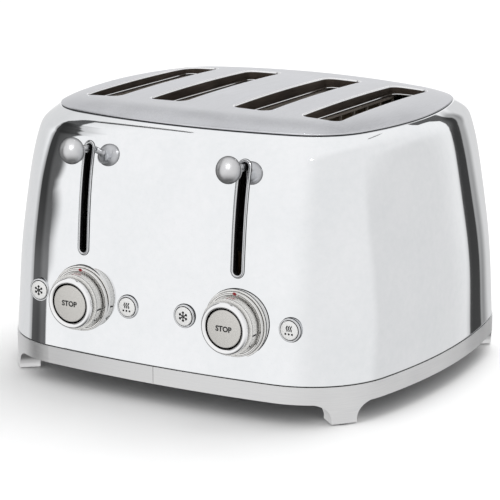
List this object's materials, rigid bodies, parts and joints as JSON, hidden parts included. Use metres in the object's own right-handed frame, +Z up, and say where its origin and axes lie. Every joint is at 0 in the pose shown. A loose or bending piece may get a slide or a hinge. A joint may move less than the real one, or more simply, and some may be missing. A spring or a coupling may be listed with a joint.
{
  "type": "retro four-slot toaster",
  "caption": "Retro toaster: chrome body with rounded corners, domed top plate with long bread slots, ball-ended levers, browning dials with stop buttons, pull-out crumb trays.",
  "frame": {"origin": "the middle of the whole reach, lever balls to tray pulls, at the level of the worktop under the foot pads; the middle of the body itself is 3.5 mm behind it", "axes": "+X to the right as the front is faced (the long way), -Y to the front where the levers and dials are, +Z up"},
  "size_m": [0.3376, 0.322, 0.214],
  "materials": {
    "chrome_body": "mirror-polished",
    "satin_plate": "satin brushed",
    "satin_band": "satin",
    "rubber_pad": "matte",
    "base_sheet": "matte grey coated sheet",
    "zinc_screw": "zinc plated",
    "chassis_sheet": "heat-dulled sheet",
    "black_bush": "moulded",
    "tray_sheet": "satin sheet",
    "carriage_steel": "plain",
    "arm_steel": "plain",
    "chrome_ball": "mirror-polished",
    "chrome_bezel": "polished",
    "rod_steel": "ground",
    "spring_steel": "drawn wire",
    "magnet_coil": "varnished winding",
    "satin_collar": "satin turned",
    "dial_chrome": "satin chrome",
    "stop_face": "satin warm grey",
    "board_resin": "circuit board",
    "heater_mica": "mica sheet",
    "guide_steel": "plated wire",
    "button_satin": "satin silver",
    "button_rim": "polished"
  },
  "bodies": {
    "housing": {"base_band_left": "satin_band", "base_band_right": "satin_band", "base_pan": "base_sheet", "base_screws": "zinc_screw", "carriage_spring_left": "spring_steel", "carriage_spring_right": "spring_steel", "chassis_centre": "chassis_sheet", "chassis_front": "chassis_sheet", "chassis_rear": "chassis_sheet", "control_board_left": "board_resin", "control_board_right": "board_resin", "cord_inlet": "black_bush", "defrost_bezel_left": "button_rim", "defrost_bezel_right": "button_rim", "dial_collar_left": "satin_collar", "dial_collar_right": "satin_collar", "foot_pads": "rubber_pad", "guide_rod_left": "rod_steel", "guide_rod_right": "rod_steel", "heater_inner_left": "heater_mica", "heater_inner_right": "heater_mica", "heater_middle_left": "heater_mica", "heater_middle_right": "heater_mica", "heater_outer_left": "heater_mica", "heater_outer_right": "heater_mica", "lever_bezel_left": "chrome_bezel", "lever_bezel_right": "chrome_bezel", "magnet_left": "magnet_coil", "magnet_right": "magnet_coil", "outer_shell": "chrome_body", "reheat_bezel_left": "button_rim", "reheat_bezel_right": "button_rim", "top_plate": "satin_plate"},
    "lever_assembly_left": {"carriage_left": "carriage_steel", "lever_arm_left": "arm_steel", "lever_ball_left": "chrome_ball"},
    "dial_body_left": {"dial_left": "dial_chrome"},
    "stop_body_left": {"stop_button_left": "stop_face"},
    "defrost_body_left": {"defrost_button_left": "button_satin"},
    "reheat_body_left": {"reheat_button_left": "button_satin"},
    "tray_body_left": {"crumb_tray_left": "tray_sheet"},
    "bread_guide_a_inner_left": {"guide_a_inner_left": "guide_steel"},
    "bread_guide_b_inner_left": {"guide_b_inner_left": "guide_steel"},
    "bread_guide_a_outer_left": {"guide_a_outer_left": "guide_steel"},
    "bread_guide_b_outer_left": {"guide_b_outer_left": "guide_steel"},
    "lever_assembly_right": {"carriage_right": "carriage_steel", "lever_arm_right": "arm_steel", "lever_ball_right": "chrome_ball"},
    "dial_body_right": {"dial_right": "dial_chrome"},
    "stop_body_right": {"stop_button_right": "stop_face"},
    "defrost_body_right": {"defrost_button_right": "button_satin"},
    "reheat_body_right": {"reheat_button_right": "button_satin"},
    "tray_body_right": {"crumb_tray_right": "tray_sheet"},
    "bread_guide_a_inner_right": {"guide_a_inner_right": "guide_steel"},
    "bread_guide_b_inner_right": {"guide_b_inner_right": "guide_steel"},
    "bread_guide_a_outer_right": {"guide_a_outer_right": "guide_steel"},
    "bread_guide_b_outer_right": {"guide_b_outer_right": "guide_steel"}
  },
  "joints": [
    {"name": "lever_left", "type": "slide", "parent": "housing", "child": "lever_assembly_left", "axis": [0, 0, -1], "range_m": [0, 0.074], "stiffness_N_per_m": 60, "springref_m": -0.08, "deforming": ["carriage_spring_left"]},
    {"name": "browning_dial_left", "type": "hinge", "parent": "housing", "child": "dial_body_left", "pos_m": [-0.0667, -0.15151, 0.07], "axis": [0, -1, 0], "range_deg": [-140, 140]},
    {"name": "stop_press_left", "type": "slide", "parent": "housing", "child": "stop_body_left", "axis": [0, 1, 0], "range_m": [0, 0.0015], "stiffness_N_per_m": 900, "springref_m": -0.001},
    {"name": "defrost_press_left", "type": "slide", "parent": "housing", "child": "defrost_body_left", "axis": [0, 1, 0], "range_m": [0, 0.0015], "stiffness_N_per_m": 900, "springref_m": -0.001},
    {"name": "reheat_press_left", "type": "slide", "parent": "housing", "child": "reheat_body_left", "axis": [0, 1, 0], "range_m": [0, 0.0015], "stiffness_N_per_m": 900, "springref_m": -0.001},
    {"name": "crumb_tray_slide_left", "type": "slide", "parent": "housing", "child": "tray_body_left", "axis": [0, 1, 0], "range_m": [0, 0.2]},
    {"name": "guide_a_inner_left_slide", "type": "slide", "parent": "housing", "child": "bread_guide_a_inner_left", "axis": [1, 0, 0], "range_m": [0, 0.0052]},
    {"name": "guide_b_inner_left_slide", "type": "slide", "parent": "housing", "child": "bread_guide_b_inner_left", "axis": [-1, 0, 0], "range_m": [0, 0.0052]},
    {"name": "guide_a_outer_left_slide", "type": "slide", "parent": "housing", "child": "bread_guide_a_outer_left", "axis": [1, 0, 0], "range_m": [0, 0.0052]},
    {"name": "guide_b_outer_left_slide", "type": "slide", "parent": "housing", "child": "bread_guide_b_outer_left", "axis": [-1, 0, 0], "range_m": [0, 0.0052]},
    {"name": "lever_right", "type": "slide", "parent": "housing", "child": "lever_assembly_right", "axis": [0, 0, -1], "range_m": [0, 0.074], "stiffness_N_per_m": 60, "springref_m": -0.08, "deforming": ["carriage_spring_right"]},
    {"name": "browning_dial_right", "type": "hinge", "parent": "housing", "child": "dial_body_right", "pos_m": [0.0667, -0.15151, 0.07], "axis": [0, -1, 0], "range_deg": [-140, 140]},
    {"name": "stop_press_right", "type": "slide", "parent": "housing", "child": "stop_body_right", "axis": [0, 1, 0], "range_m": [0, 0.0015], "stiffness_N_per_m": 900, "springref_m": -0.001},
    {"name": "defrost_press_right", "type": "slide", "parent": "housing", "child": "defrost_body_right", "axis": [0, 1, 0], "range_m": [0, 0.0015], "stiffness_N_per_m": 900, "springref_m": -0.001},
    {"name": "reheat_press_right", "type": "slide", "parent": "housing", "child": "reheat_body_right", "axis": [0, 1, 0], "range_m": [0, 0.0015], "stiffness_N_per_m": 900, "springref_m": -0.001},
    {"name": "crumb_tray_slide_right", "type": "slide", "parent": "housing", "child": "tray_body_right", "axis": [0, 1, 0], "range_m": [0, 0.2]},
    {"name": "guide_a_inner_right_slide", "type": "slide", "parent": "housing", "child": "bread_guide_a_inner_right", "axis": [1, 0, 0], "range_m": [0, 0.0052]},
    {"name": "guide_b_inner_right_slide", "type": "slide", "parent": "housing", "child": "bread_guide_b_inner_right", "axis": [-1, 0, 0], "range_m": [0, 0.0052]},
    {"name": "guide_a_outer_right_slide", "type": "slide", "parent": "housing", "child": "bread_guide_a_outer_right", "axis": [1, 0, 0], "range_m": [0, 0.0052]},
    {"name": "guide_b_outer_right_slide", "type": "slide", "parent": "housing", "child": "bread_guide_b_outer_right", "axis": [-1, 0, 0], "range_m": [0, 0.0052]}
  ],
  "couplings": [
    {"joint": "guide_a_inner_left_slide", "follows": "lever_left", "ratio": 0.07},
    {"joint": "guide_b_inner_left_slide", "follows": "lever_left", "ratio": 0.07},
    {"joint": "guide_a_outer_left_slide", "follows": "lever_left", "ratio": 0.07},
    {"joint": "guide_b_outer_left_slide", "follows": "lever_left", "ratio": 0.07},
    {"joint": "guide_a_inner_right_slide", "follows": "lever_right", "ratio": 0.07},
    {"joint": "guide_b_inner_right_slide", "follows": "lever_right", "ratio": 0.07},
    {"joint": "guide_a_outer_right_slide", "follows": "lever_right", "ratio": 0.07},
    {"joint": "guide_b_outer_right_slide", "follows": "lever_right", "ratio": 0.07}
  ]
}
